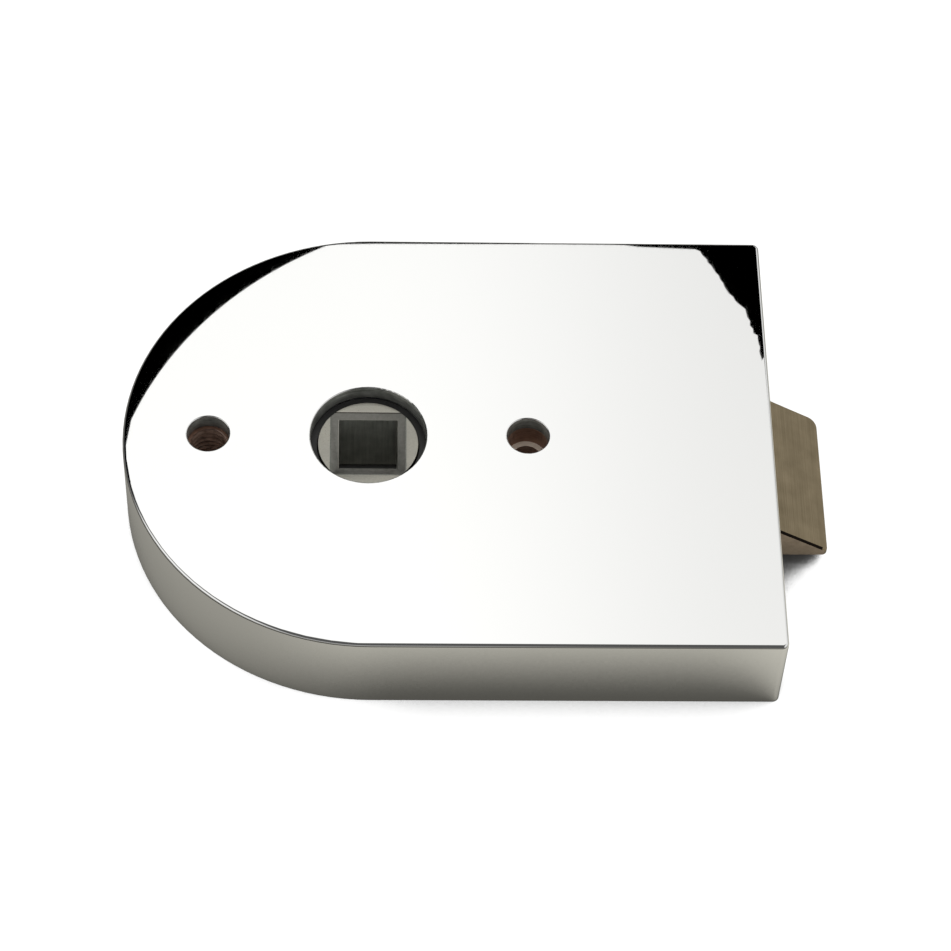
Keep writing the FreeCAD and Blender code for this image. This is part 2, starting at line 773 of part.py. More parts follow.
def arc_between(start, corner, end):
    middle = (start + end) * 0.5
    half_chord = (end - start).Length / 2
    bulge = math.atan2((corner - middle).Length, half_chord)
    crown = (corner - middle).normalize() * (half_chord * math.tan(bulge / 2))
    return Part.Arc(start, middle + crown, end).toShape()


def coil_point(angle, length, turns, radius):
    rise = length * angle / (2 * math.pi * turns)
    return FreeCAD.Vector(rise, radius * math.cos(angle), radius * math.sin(angle))


def coil_way(angle, length, turns, radius):
    rise = length / (2 * math.pi * turns)
    way = FreeCAD.Vector(rise, -radius * math.sin(angle), radius * math.cos(angle))
    return way.normalize()


def make_latch_spring(name, along):
    # Wound about X, from the bridge to the bottom of its seat in the latch bolt
    wire_radius = number_of("Sizes.spring_wire") / 2
    radius = number_of("Sizes.spring_radius") - wire_radius
    turns = round(number_of("Sizes.spring_turns"))
    start = number_of(bridge_front) + wire_radius
    end = number_of(f"{bolt_rear} + Sizes.spring_seat_depth") - wire_radius
    length = end - start
    edges = []
    for half_turn in range(2 * turns):
        first, last = half_turn * math.pi, (half_turn + 1) * math.pi
        edges += two_arcs(
            coil_point(first, length, turns, radius),
            coil_way(first, length, turns, radius),
            coil_point(last, length, turns, radius),
            coil_way(last, length, turns, radius),
        )
    first_point = coil_point(0, length, turns, radius)
    section = Part.Circle(first_point, coil_way(0, length, turns, radius), wire_radius)
    pipe = Part.BRepOffsetAPI.MakePipeShell(Part.Wire(edges))
    pipe.add(Part.Wire(section.toShape()))
    pipe.build()
    pipe.makeSolid()
    spring = doc.addObject("Part::Feature", name)
    spring.Label = name
    spring.Shape = pipe.shape()
    place = FreeCAD.Vector(start, number_of(along), number_of(spring_level))
    spring.Placement = FreeCAD.Placement(place, FreeCAD.Rotation())
    parts.append(spring)
    samples = [coil_point(2 * math.pi * i / 48, length, turns, radius) for i in range(48 * turns)]
    gaps = []
    for i, point in enumerate(samples):
        gaps += [(point - other).Length for other in samples[i + 24 :]]
    print(name, "least gap to itself", round(min(gaps) - 2 * wire_radius, 2))


make_cover()
make_back_plate()
make_glass_pad()
make_cover_screws()
make_bearing_plate()
make_spacer_pillars()
make_fixing_sleeves()
make_follower()
make_bushes_and_washer()
make_latch_bolt()
make_latch_carriage()
make_latch_rivets()
make_latch_rail("upper_latch_rail", 1)
make_latch_rail("lower_latch_rail", -1)
make_spring_bridge()
for level_name, spring_place in zip(("upper", "lower"), spring_places()):
    make_spring_guide(f"{level_name}_spring_guide", spring_place)
    make_latch_spring(f"{level_name}_latch_spring", spring_place)

doc.recompute()
for item in doc.Objects:
    if {"Invalid", "Error"} & set(item.State):
        raise RuntimeError(f"{item.Label} could not be built")
for part in parts:
    if part.Shape.isNull() or not part.Shape.isValid():
        raise RuntimeError(f"{part.Label} has no valid solid")
for part in parts:
    part.Shape.exportStep(f"parts/{part.Label}.step")
    print(part.Label, len(part.Shape.Solids), round(part.Shape.Volume, 2))
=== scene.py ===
import json
import math
import random

import bmesh
import bpy
from mathutils import Matrix, Vector


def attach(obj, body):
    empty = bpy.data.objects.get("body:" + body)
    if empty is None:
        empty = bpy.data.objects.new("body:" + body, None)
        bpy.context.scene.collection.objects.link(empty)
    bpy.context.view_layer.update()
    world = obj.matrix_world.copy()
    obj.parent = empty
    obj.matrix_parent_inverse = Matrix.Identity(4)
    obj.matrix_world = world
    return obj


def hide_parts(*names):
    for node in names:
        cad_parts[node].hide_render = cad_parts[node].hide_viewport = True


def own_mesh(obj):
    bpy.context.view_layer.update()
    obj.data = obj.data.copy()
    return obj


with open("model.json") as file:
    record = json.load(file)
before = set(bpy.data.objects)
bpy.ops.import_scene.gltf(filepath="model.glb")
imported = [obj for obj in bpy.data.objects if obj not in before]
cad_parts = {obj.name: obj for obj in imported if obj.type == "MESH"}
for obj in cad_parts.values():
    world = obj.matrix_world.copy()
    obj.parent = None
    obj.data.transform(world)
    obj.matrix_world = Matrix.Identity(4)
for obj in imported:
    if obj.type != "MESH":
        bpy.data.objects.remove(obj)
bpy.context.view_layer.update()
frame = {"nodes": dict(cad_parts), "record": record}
scene = bpy.context.scene
scene.view_settings.view_transform = "Standard"
nodes = frame["nodes"]
mm = 0.001
print("frame loaded:", len(nodes), "nodes")


# A surface latch lock for a glass door, lying on white paper under a soft box

def linear(hexColour):
    # sRGB hex to the linear values that the shaders work in
    parts = [int(hexColour[i:i + 2], 16) / 255 for i in (1, 3, 5)]
    return [p / 12.92 if p <= 0.04045 else ((p + 0.055) / 1.055) ** 2.4 for p in parts] + [1.0]


def addNode(tree, kind, values=None, links=None, stops=(), **settings):
    # one node with its settings, its ramp's stops, its socket values and its incoming links
    node = tree.nodes.new(kind)
    for name, value in settings.items():
        setattr(node, name, value)
    for i, (place, colour) in enumerate(stops):
        elements = node.color_ramp.elements
        element = elements[i] if i < len(elements) else elements.new(place)
        element.position, element.color = place, colour
    for name, value in (values or {}).items():
        node.inputs[name].default_value = value
    for name, source in (links or {}).items():
        tree.links.new(source, node.inputs[name])
    return node


def newMaterial(look):
    # a Principled material with the plain values of its dictionary set on the shader's own sockets
    material = bpy.data.materials.new(look["name"])
    material.use_nodes = True
    tree = material.node_tree
    shader = tree.nodes["Principled BSDF"]
    shader.inputs["Base Color"].default_value = linear(look["colour"])
    shader.inputs["Metallic"].default_value = look["metallic"]
    shader.inputs["Roughness"].default_value = look["roughness"]
    shader.inputs["Specular IOR Level"].default_value = look.get("specular", 0.5)
    return material, tree, shader


# How the two noises make a finish's pattern: the patches' share in it, and the levels between which it
# goes from the dark colour to the light one
pattern = {"patchShare": 0.45, "dark": 0.3, "light": 0.7}


def addPattern(tree, shader, look):
    # grain of a real size that varies the colour and the roughness, and a fine bump
    place = addNode(tree, "ShaderNodeTexCoord").outputs["Object"]
    perMetre = [1 / (mm * size) for size in look["grain"]]
    stretched = addNode(tree, "ShaderNodeMapping", {"Scale": perMetre}, {"Vector": place})
    grain = addNode(tree, "ShaderNodeTexNoise", {"Scale": 1.0, "Detail": 4.0, "Roughness": 0.6},
                    {"Vector": stretched.outputs["Vector"]})
    patches = addNode(tree, "ShaderNodeTexNoise", {"Scale": 1 / (mm * look["patch"]), "Detail": 3.0},
                      {"Vector": place})
    blend = addNode(tree, "ShaderNodeMix", {"Factor": pattern["patchShare"]},
                    {"A": grain.outputs["Fac"], "B": patches.outputs["Fac"]}, data_type="FLOAT")
    tone = addNode(tree, "ShaderNodeValToRGB", links={"Fac": blend.outputs["Result"]},
                   stops=((pattern["dark"], linear(look["darkColour"])),
                          (pattern["light"], linear(look["colour"]))))
    colour = tone.outputs["Color"]
    if "shadeByHeight" in look:
        # painted shade and light by height: from a level of the colour at one height to all of it at another
        dark, full, level = look["shadeByHeight"]
        height = addNode(tree, "ShaderNodeSeparateXYZ", links={"Vector": place})
        shadeByHeight = addNode(tree, "ShaderNodeMapRange",
                       {"From Min": dark * mm, "From Max": full * mm, "To Min": level},
                       {"Value": height.outputs["Z"]})
        colour = addNode(tree, "ShaderNodeVectorMath", links={0: colour, "Scale": shadeByHeight.outputs["Result"]},
                         operation="SCALE").outputs["Vector"]
    tree.links.new(colour, shader.inputs["Base Color"])
    smoothest, roughest = look["roughness"] - look["roughSpread"], look["roughness"] + look["roughSpread"]
    rough = addNode(tree, "ShaderNodeMapRange",
                    {"From Min": pattern["dark"], "From Max": pattern["light"],
                     "To Min": smoothest, "To Max": roughest},
                    {"Value": blend.outputs["Result"]})
    tree.links.new(rough.outputs["Result"], shader.inputs["Roughness"])
    bump = addNode(tree, "ShaderNodeBump", {"Strength": 1.0, "Distance": mm * look["bump"]},
                   {"Height": grain.outputs["Fac"]})
    tree.links.new(bump.outputs["Normal"], shader.inputs["Normal"])


# Camera, as solved from the photograph: lengths in millimetres, turns in degrees

photoCamera = {"place": (-1.2775, -233.747, 340.859), "azimuth": 3.4989, "elevation": 55.2252,
               "roll": 3.2554, "lens": 128.536, "sensor": 36.0, "nearest": 10.0, "farthest": 20000.0}


def makeCamera(values):
    data = bpy.data.cameras.new("photo_camera")
    data.lens = values["lens"]
    data.sensor_width = values["sensor"]
    data.clip_start = values["nearest"] * mm
    data.clip_end = values["farthest"] * mm
    camera = bpy.data.objects.new("photo_camera", data)
    scene.collection.objects.link(camera)
    turn, lift, roll = (math.radians(values[key]) for key in ("azimuth", "elevation", "roll"))
    ahead = Vector((math.sin(turn) * math.cos(lift), math.cos(turn) * math.cos(lift), -math.sin(lift)))
    level = Vector((math.cos(turn), -math.sin(turn), 0))
    upward = level.cross(ahead)
    right = level * math.cos(roll) + upward * math.sin(roll)
    top = upward * math.cos(roll) - level * math.sin(roll)
    placed = Matrix((right, top, -ahead)).transposed().to_4x4()
    placed.translation = Vector(values["place"]) * mm
    camera.matrix_world = placed
    scene.camera = camera


makeCamera(photoCamera)


# Stage: white paper, a soft key light from behind, and the room that the chrome mirrors

# The paper's lengths are in millimetres. Where four values stand together they are a soft step: from, to,
# the level before and the level after. Where two do, the step goes from none to all.
stage = {"floorSize": 3000.0, "paper": "#EAE7DC", "seenPaper": "#666665", "seenGlow": "#FFFFFF",
         "contactReach": 14.0, "contactSamples": 16,
         "shadeSide": (-4.0, 8.0), "shadeFront": (-24.0, -28.0), "mirrorSide": (4.0, -26.0),
         "lockCentre": 0.4, "lockRadius": 29.5,
         "mirrorDim": (10.5, 17.0, 1.0, 0.05), "mirrorFar": (45.0, 90.0, 0.0, 0.45),
         "keyStrength": 0.6, "keyAngle": 60.0, "keyElevation": 58.0, "keyAzimuth": 8.0,
         "evenLight": 0.9, "leastMirrored": 0.09}
# How open the paper is to the sky against how bright it is: in front of the lock, at its other sides, and
# in a mirror at the right and at the left
contact = {"front": ((0.24, 0.0), (0.33, 0.05), (0.40, 0.14), (0.44, 0.36), (0.48, 0.54), (0.52, 0.66),
                     (0.55, 0.77), (0.58, 0.87), (0.61, 0.97), (0.63, 1.0)),
           "sides": ((0.27, 0.0), (0.34, 0.01), (0.40, 0.06), (0.44, 0.20), (0.47, 0.50), (0.495, 0.85),
                     (0.515, 1.0)),
           "mirrored": ((0.50, 0.105), (0.56, 0.125), (0.62, 0.18), (0.66, 0.225), (0.71, 0.31),
                        (0.765, 0.41), (0.81, 0.50), (1.0, 0.78)),
           "mirroredLeft": ((0.46, 0.10), (0.50, 0.19), (0.54, 0.27), (0.60, 0.32), (0.75, 0.38),
                            (1.0, 0.44))}
# Steps along an axis of the mirrored direction: the axis, from, to, the level before, the level after
room = {"sideways": ("X", 0.0, 0.13, 1.095, 0.90), "lift": ("Z", 0.655, 1.0, 0.88, 1.185),
        "aboveFloor": ("Z", 0.12, 0.42, 0.0, 1.0), "farRight": ("X", 0.30, 0.60, 0.0, 0.55),
        "toFront": ("Y", 0.44, 0.20, 0.0, 1.0), "leftEnd": ("X", -0.70, -0.35, 0.0, 1.0),
        "rightEnd": ("X", 0.60, 0.30, 0.0, 1.0), "frontHeight": ("Z", 0.35, 0.55, 1.0, 0.0),
        "frontSide": ("X", 0.0, 0.10, 0.78, 0.13), "rearLeft": ("X", -0.15, -0.35, 0.0, 1.0),
        "rearward": ("Y", 0.15, 0.35, 0.0, 0.96)}
# What some of these steps make together: the room's front, the light in that front, and the dark corner
roomParts = {"front": ("toFront", "leftEnd", "rightEnd"), "low": ("frontHeight", "frontSide"),
             "corner": ("rearLeft", "rearward")}


def paperMaterial(values):
    # seen straight, the paper is white up to a thin contact shadow; in a mirror it is the grey, warm
    # sheet that the lock stands in its own shade on; all other light falls on plain paper
    material = bpy.data.materials.new("white paper")
    material.use_nodes = True
    tree = material.node_tree
    tree.nodes.clear()
    path = addNode(tree, "ShaderNodeLightPath").outputs
    openness = addNode(tree, "ShaderNodeAmbientOcclusion", {"Distance": mm * values["contactReach"]},
                       samples=values["contactSamples"])
    level = {}
    for name, stops in contact.items():
        greys = [(place, (glow, glow, glow, 1)) for place, glow in stops]
        level[name] = addNode(tree, "ShaderNodeValToRGB", links={"Fac": openness.outputs["AO"]},
                              stops=greys).outputs["Color"]
    place = addNode(tree, "ShaderNodeTexCoord").outputs["Object"]
    axes = addNode(tree, "ShaderNodeSeparateXYZ", links={"Vector": place}).outputs
    # how far off the lock's long sides and round end a point of the paper lies
    along = addNode(tree, "ShaderNodeMath", {1: values["lockCentre"] * mm}, {0: axes["X"]},
                    operation="SUBTRACT")
    atRoundEnd = addNode(tree, "ShaderNodeMath", {1: 0.0}, {0: along.outputs["Value"]}, operation="MINIMUM")
    fromAxis = addNode(tree, "ShaderNodeCombineXYZ",
                       links={"X": atRoundEnd.outputs["Value"], "Y": axes["Y"]})
    reach = addNode(tree, "ShaderNodeVectorMath", links={0: fromAxis.outputs["Vector"]}, operation="LENGTH")
    outside = addNode(tree, "ShaderNodeMath", {1: values["lockRadius"] * mm}, {0: reach.outputs["Value"]},
                      operation="SUBTRACT").outputs["Value"]
    mask = {}
    for name, source, (start, end, before, after) in (
            ("right", axes["X"], (*values["shadeSide"], 0.0, 1.0)),
            ("front", axes["Y"], (*values["shadeFront"], 0.0, 1.0)),
            ("left", axes["X"], (*values["mirrorSide"], 0.0, 1.0)),
            ("near", outside, values["mirrorDim"]), ("far", outside, values["mirrorFar"])):
        step = {"From Min": start * mm, "From Max": end * mm, "To Min": before, "To Max": after}
        mask[name] = addNode(tree, "ShaderNodeMapRange", step, {"Value": source},
                             interpolation_type="SMOOTHSTEP").outputs["Result"]
    inFront = addNode(tree, "ShaderNodeMath", links={0: mask["right"], 1: mask["front"]},
                      operation="MULTIPLY")
    shade = addNode(tree, "ShaderNodeMix", data_type="FLOAT",
                    links={"Factor": inFront.outputs["Value"], "A": level["sides"], "B": level["front"]})
    beside = addNode(tree, "ShaderNodeMix", data_type="FLOAT",
                     links={"Factor": mask["left"], "A": level["mirrored"], "B": level["mirroredLeft"]})
    near = addNode(tree, "ShaderNodeMath", links={0: beside.outputs["Result"], 1: mask["near"]},
                   operation="MULTIPLY")
    mirrored = addNode(tree, "ShaderNodeMath", links={0: near.outputs["Value"], 1: mask["far"]},
                       operation="ADD")
    layers = {}
    for name, glow, strength, albedo in (
            ("seen", values["seenGlow"], shade.outputs["Result"], values["seenPaper"]),
            ("mirrored", values["paper"], mirrored.outputs["Value"], "#000000")):
        paper = addNode(tree, "ShaderNodeBsdfDiffuse", {"Color": linear(albedo)})
        light = addNode(tree, "ShaderNodeEmission", {"Color": linear(glow)}, {"Strength": strength})
        both = addNode(tree, "ShaderNodeAddShader",
                       links={0: paper.outputs["BSDF"], 1: light.outputs["Emission"]})
        layers[name] = both.outputs["Shader"]
    plain = addNode(tree, "ShaderNodeBsdfDiffuse", {"Color": linear(values["paper"])}).outputs["BSDF"]
    direct = addNode(tree, "ShaderNodeMath", links={0: path["Is Camera Ray"], 1: path["Is Transmission Ray"]},
                     operation="MAXIMUM")
    notSeen = addNode(tree, "ShaderNodeMixShader",
                      links={0: path["Is Glossy Ray"], 1: plain, 2: layers["mirrored"]})
    paper = addNode(tree, "ShaderNodeMixShader",
                    links={0: direct.outputs["Value"], 1: notSeen.outputs["Shader"], 2: layers["seen"]})
    addNode(tree, "ShaderNodeOutputMaterial", links={"Surface": paper.outputs["Shader"]})
    return material


def makeFloor(values):
    work = bmesh.new()
    bmesh.ops.create_grid(work, x_segments=1, y_segments=1, size=values["floorSize"] * mm / 2)
    mesh = bpy.data.meshes.new("paper_floor")
    work.to_mesh(mesh)
    work.free()
    mesh.materials.append(paperMaterial(values))
    floor = bpy.data.objects.new("paper_floor", mesh)
    scene.collection.objects.link(floor)


def makeRoom(steps, parts, values):
    # camera rays see white and mirrors see the room: a soft box at the back that dims to the right and
    # brightens upwards, dark overhead and towards the camera but for a low strip, and dark over the floor
    # and in the rear left corner; everything else gets plain even light
    world = bpy.data.worlds.new("studio")
    scene.world = world
    world.use_nodes = True
    world.cycles.sampling_method = "NONE"
    tree = world.node_tree
    tree.nodes.clear()
    path = addNode(tree, "ShaderNodeLightPath").outputs
    place = addNode(tree, "ShaderNodeTexCoord")
    way = addNode(tree, "ShaderNodeSeparateXYZ", links={"Vector": place.outputs["Generated"]}).outputs
    share = {}
    for name, (axis, start, end, before, after) in steps.items():
        step = {"From Min": start, "From Max": end, "To Min": before, "To Max": after}
        share[name] = addNode(tree, "ShaderNodeMapRange", step, {"Value": way[axis]},
                              interpolation_type="LINEAR" if name == "lift" else "SMOOTHSTEP"
                              ).outputs["Result"]
    for name, (first, *others) in parts.items():
        product = share[first]
        for other in others:
            product = addNode(tree, "ShaderNodeMath", links={0: product, 1: share[other]},
                              operation="MULTIPLY").outputs["Value"]
        share[name] = product
    light = addNode(tree, "ShaderNodeMix", {"A": 1.0}, {"Factor": share["front"], "B": share["low"]},
                    data_type="FLOAT").outputs["Result"]
    horizon = addNode(tree, "ShaderNodeMath", links={0: share["aboveFloor"], 1: share["farRight"]},
                      operation="MAXIMUM").outputs["Value"]
    offCorner = addNode(tree, "ShaderNodeMath", {0: 1.0}, {1: share["corner"]},
                        operation="SUBTRACT").outputs["Value"]
    for factor in (share["sideways"], share["lift"], horizon, offCorner):
        light = addNode(tree, "ShaderNodeMath", links={0: light, 1: factor},
                        operation="MULTIPLY").outputs["Value"]
    lit = addNode(tree, "ShaderNodeMath", {1: values["leastMirrored"]}, {0: light}, operation="MAXIMUM")
    glossy = addNode(tree, "ShaderNodeMix", {"A": values["evenLight"]},
                     {"Factor": path["Is Glossy Ray"], "B": lit.outputs["Value"]}, data_type="FLOAT")
    direct = addNode(tree, "ShaderNodeMath", links={0: path["Is Camera Ray"], 1: path["Is Transmission Ray"]},
                     operation="MAXIMUM")
    seen = addNode(tree, "ShaderNodeMix", {"B": 1.0},
                   {"Factor": direct.outputs["Value"], "A": glossy.outputs["Result"]}, data_type="FLOAT")
    background = addNode(tree, "ShaderNodeBackground", {"Color": (1, 1, 1, 1)},
                         {"Strength": seen.outputs["Result"]})
    addNode(tree, "ShaderNodeOutputWorld", links={"Surface": background.outputs["Background"]})


def makeKeyLight(values):
    # a wide soft sun stands in for the soft box, so that the paper is lit evenly
    data = bpy.data.lights.new("soft_key", "SUN")
    data.energy = values["keyStrength"]
    data.angle = math.radians(values["keyAngle"])
    lamp = bpy.data.objects.new("soft_key", data)
    scene.collection.objects.link(lamp)
    lift, turn = math.radians(values["keyElevation"]), math.radians(values["keyAzimuth"])
    lamp.rotation_euler = (-(math.pi / 2 - lift), 0, -turn)
    lamp.visible_glossy = False


# The black card behind the soft box, whose edge the face of the lock mirrors.
# Its outline is given where it shows on the face, in millimetres, and thrown up to the card's height.

blackCard = {"height": 400.0, "faceTop": 12.0, "arcCentre": (16.55, -13.29), "arcRadius": 47.21,
             "arcFrom": 161.3, "arcTo": 117.0, "arcSteps": 36,
             "rearLine": ((1.0, 28.95), (10.0, 29.02), (18.0, 29.1), (24.0, 29.17), (31.5, 29.14),
                          (33.4, 28.85), (40.4, 28.55)),
             "corner": ((41.0, 28.3), (41.7, 27.0), (43.1, 24.5), (44.3, 21.6), (46.0, 19.2),
                        (46.9, 15.65), (47.4, 15.3), (47.5, 12.2), (47.6, 11.45), (48.3, 12.6)),
             "ragged": 0.12, "raggedStep": 0.6, "raggedSeed": 7,
             "farLine": ((108.0, 12.6), (108.0, 430.0), (57.0, 430.0), (38.0, 182.0), (27.0, 182.0),
                         (35.0, 430.0), (-260.0, 430.0), (-260.0, -60.0), (-29.2, -9.0),
                         (-28.94, -3.65), (-28.52, -1.05), (-28.35, 0.41))}


def makeBlackCard(values, viewPoint):
    edge = []
    arc = values["arcTo"] - values["arcFrom"]
    for i in range(values["arcSteps"] + 1):
        angle = math.radians(values["arcFrom"] + arc * i / values["arcSteps"])
        spoke = Vector((math.cos(angle), math.sin(angle)))
        edge.append(Vector(values["arcCentre"]) + values["arcRadius"] * spoke)
    edge += [Vector(p) for p in values["rearLine"]]
    # at the corner the card's edge is cut ragged
    rag = random.Random(values["raggedSeed"])
    for p, q in zip((values["rearLine"][-1],) + values["corner"], values["corner"]):
        p, q = Vector(p), Vector(q)
        pieces = max(1, round((q - p).length / values["raggedStep"]))
        across = (q - p).orthogonal().normalized()
        for i in range(1, pieces + 1):
            edge.append(p.lerp(q, i / pieces) + across * rag.uniform(-1, 1) * values["ragged"])
    edge += [Vector(p) for p in values["farLine"]]
    # thrown up along lines from the camera's image in the face
    foot = Vector(viewPoint[:2])
    scale = (values["height"] + viewPoint[2] - 2 * values["faceTop"]) / (viewPoint[2] - values["faceTop"])
    work = bmesh.new()
    corners = [work.verts.new((*(foot + (p - foot) * scale) * mm, values["height"] * mm)) for p in edge]
    work.faces.new(corners)
    mesh = bpy.data.meshes.new("black_card")
    work.to_mesh(mesh)
    work.free()
    card = bpy.data.objects.new("black_card", mesh)
    scene.collection.objects.link(card)
    material = bpy.data.materials.new("black card")
    material.use_nodes = True
    tree = material.node_tree
    tree.nodes.clear()
    dark = addNode(tree, "ShaderNodeEmission", {"Color": (0, 0, 0, 1), "Strength": 0.0})
    addNode(tree, "ShaderNodeOutputMaterial", links={"Surface": dark.outputs["Emission"]})
    mesh.materials.append(material)
    card.visible_camera = False
    card.visible_diffuse = False
    card.visible_transmission = False
    card.visible_shadow = False


makeFloor(stage)
makeRoom(room, roomParts, stage)
makeKeyLight(stage)
makeBlackCard(blackCard, photoCamera["place"])
print("stage and camera set")


# Finishes

chromeLook = {"name": "bright chrome plate", "colour": "#F4F4F2", "metallic": 1.0, "roughness": 0.008,
              "wave": 14.0, "waveHeight": 0.0003, "wipe": (0.4, 9.0, 9.0), "wipeSpread": 0.006,
              "wipeRange": (0.35, 0.75)}


def chromePlate(look):
    # die-cast zinc, copper and nickel plated, mopped and chromed: a mirror with the mop's faint long waves
    material, tree, shader = newMaterial(look)
    place = addNode(tree, "ShaderNodeTexCoord").outputs["Object"]
    waves = addNode(tree, "ShaderNodeTexNoise", {"Scale": 1 / (mm * look["wave"]), "Detail": 1.0},
                    {"Vector": place})
    bump = addNode(tree, "ShaderNodeBump", {"Strength": 1.0, "Distance": mm * look["waveHeight"]},
                   {"Height": waves.outputs["Fac"]})
    tree.links.new(bump.outputs["Normal"], shader.inputs["Normal"])
    perMetre = [1 / (mm * size) for size in look["wipe"]]
    stretched = addNode(tree, "ShaderNodeMapping", {"Scale": perMetre}, {"Vector": place})
    wipes = addNode(tree, "ShaderNodeTexNoise", {"Scale": 1.0, "Detail": 5.0},
                    {"Vector": stretched.outputs["Vector"]})
    least, most = look["wipeRange"]
    rough = addNode(tree, "ShaderNodeMapRange",
                    {"From Min": least, "From Max": most, "To Min": look["roughness"],
                     "To Max": look["roughness"] + look["wipeSpread"]},
                    {"Value": wipes.outputs["Fac"]})
    tree.links.new(rough.outputs["Result"], shader.inputs["Roughness"])
    return material


# In each finish below, the grain, the patches, the bump and the heights of the painted shade by height are in
# millimetres.
# Brush and draw lines, turning rings and the grain of cast, rolled and sintered metal are finer than the
# render shows, so they are drawn as coarse as they need to show.

# Satin nickel plate on a cast latch, tarnished warm, brushed along its width
nickelLook = {"name": "satin nickel plate", "colour": "#B3A386", "darkColour": "#8B7D62", "metallic": 1.0,
              "roughness": 0.34, "roughSpread": 0.05, "grain": (0.12, 14.0, 0.12), "patch": 3.0,
              "bump": 0.004}
# Cast zinc inside the cover's openings, which the mop doesn't reach and thin chrome covers: a grey sheen,
# painted darker with depth as the shade inside the openings
shadedCastWallLook = {"name": "thinly chromed cast zinc, painted darker with depth", "colour": "#B6B8B1", "darkColour": "#50514C",
                "metallic": 0.4, "roughness": 0.38, "roughSpread": 0.08, "grain": (5.0, 5.0, 0.2),
                "patch": 1.2, "bump": 0.008, "shadeByHeight": (9.8, 11.9, 0.3)}
# Broached steel in the follower's socket: dark with oil, lined along the broach's stroke
broachedLook = {"name": "oiled broached steel", "colour": "#93958D", "darkColour": "#62635D",
                "metallic": 0.5, "roughness": 0.42, "roughSpread": 0.08, "grain": (0.3, 0.3, 6.0),
                "patch": 1.8, "bump": 0.01}
# The coined lead round the socket, a duller grey than the tumbled face about it
leadLook = {"name": "coined sintered steel", "colour": "#93928B", "darkColour": "#75746E",
            "metallic": 0.9, "roughness": 0.36, "roughSpread": 0.08, "grain": (0.5, 0.5, 0.5),
            "patch": 1.2, "bump": 0.008}
# Sintered steel follower, tumbled: grey with a fine matt grain that lightens its machined faces
followerLook = {"name": "sintered steel", "colour": "#CFCDC2", "darkColour": "#B4B1A4", "metallic": 1.0,
                "roughness": 0.33, "roughSpread": 0.08, "grain": (0.25, 0.25, 5.0), "patch": 1.6,
                "bump": 0.006}
# Turned brass sleeve, dulled brown by flux and handling, with fine turning rings
brassLook = {"name": "dulled turned brass", "colour": "#A98672", "darkColour": "#6B4B3D", "metallic": 0.6,
             "roughness": 0.36, "roughSpread": 0.10, "grain": (6.0, 6.0, 0.12), "patch": 1.2, "bump": 0.006}
# The brass cut by the tap or the drill, painted light against the shade in the bores: far paler than the
# brass, at half of that near the cover's face and full deeper down
litTappedLook = {**brassLook, "name": "tapped brass, painted light in the bore", "colour": "#F0CDB8", "darkColour": "#6A4A3C",
              "metallic": 0.35, "grain": (2.0, 2.0, 0.2), "patch": 0.9, "shadeByHeight": (10.0, 5.5, 0.5)}
# The ledge in the other sleeve, spot-faced: painted pale and matt as a painted highlight
paleLedgeLook = {**brassLook, "name": "spot-faced brass, painted pale as a highlight", "colour": "#FFF0E0", "darkColour": "#F0DCC8",
             "metallic": 0.0, "roughness": 0.5}
# The latch's sides as cast, plated but not brushed: a dull, paler brown,
# painted darker towards the floor as shade
shadedCastSideLook = {"name": "nickel on cast zinc, painted darker towards the floor", "colour": "#BBA993", "darkColour": "#A08F7B",
                "metallic": 0.5, "roughness": 0.46, "roughSpread": 0.08, "grain": (0.4, 0.4, 0.4),
                "patch": 2.0, "bump": 0.008, "shadeByHeight": (1.0, 5.0, 0.6)}
# Painted shade: a near black at the far side of the seam round the socket and along the latch's near edge
darkShadeLook = {"name": "painted dark shade", "colour": "#170F08", "darkColour": "#0C0704", "metallic": 0.0,
             "roughness": 0.8, "roughSpread": 0.1, "grain": (0.3, 0.3, 0.3), "patch": 1.0, "bump": 0.004,
             "specular": 0.1}
# Rolled steel sheet, zinc plated and clear passivated: bluish silver with a fine rolling grain
zincLook = {"name": "zinc plated steel", "colour": "#C6C9CE", "darkColour": "#A9ACB0", "metallic": 1.0,
            "roughness": 0.36, "roughSpread": 0.08, "grain": (8.0, 0.2, 8.0), "patch": 4.0, "bump": 0.003}
# Hardened steel screws and pins, bright zinc plated and turned
screwLook = {"name": "bright zinc screw steel", "colour": "#C0C1C4", "darkColour": "#97989B",
             "metallic": 1.0, "roughness": 0.28, "roughSpread": 0.08, "grain": (3.0, 3.0, 0.1),
             "patch": 1.5, "bump": 0.004}
# Patented carbon spring wire, drawn: dark bright steel with draw lines
wireLook = {"name": "drawn spring wire", "colour": "#B3B2B0", "darkColour": "#7C7B7A", "metallic": 1.0,
            "roughness": 0.25, "roughSpread": 0.08, "grain": (0.1, 0.1, 0.1), "patch": 1.0, "bump": 0.002}
# Moulded nitrile rubber: matt black with a fine moulded grain
rubberLook = {"name": "moulded black rubber", "colour": "#262625", "darkColour": "#1B1B1A",
              "metallic": 0.0, "roughness": 0.72, "roughSpread": 0.08, "grain": (0.2, 0.2, 0.2),
              "patch": 3.0, "bump": 0.02}
# Acetal mouldings: waxy, slightly glossy, the black of the bushes and the white of the rails
blackAcetalLook = {"name": "black acetal", "colour": "#333332", "darkColour": "#262625", "metallic": 0.0,
                   "roughness": 0.38, "roughSpread": 0.06, "grain": (0.3, 0.3, 0.3), "patch": 2.0,
                   "bump": 0.004}
whiteAcetalLook = {**blackAcetalLook, "name": "white acetal", "colour": "#E4E2DA", "darkColour": "#D8D5CB",
                   "roughness": 0.40}


def patternedMaterial(look):
    material, tree, shader = newMaterial(look)
    addPattern(tree, shader, look)
    return material


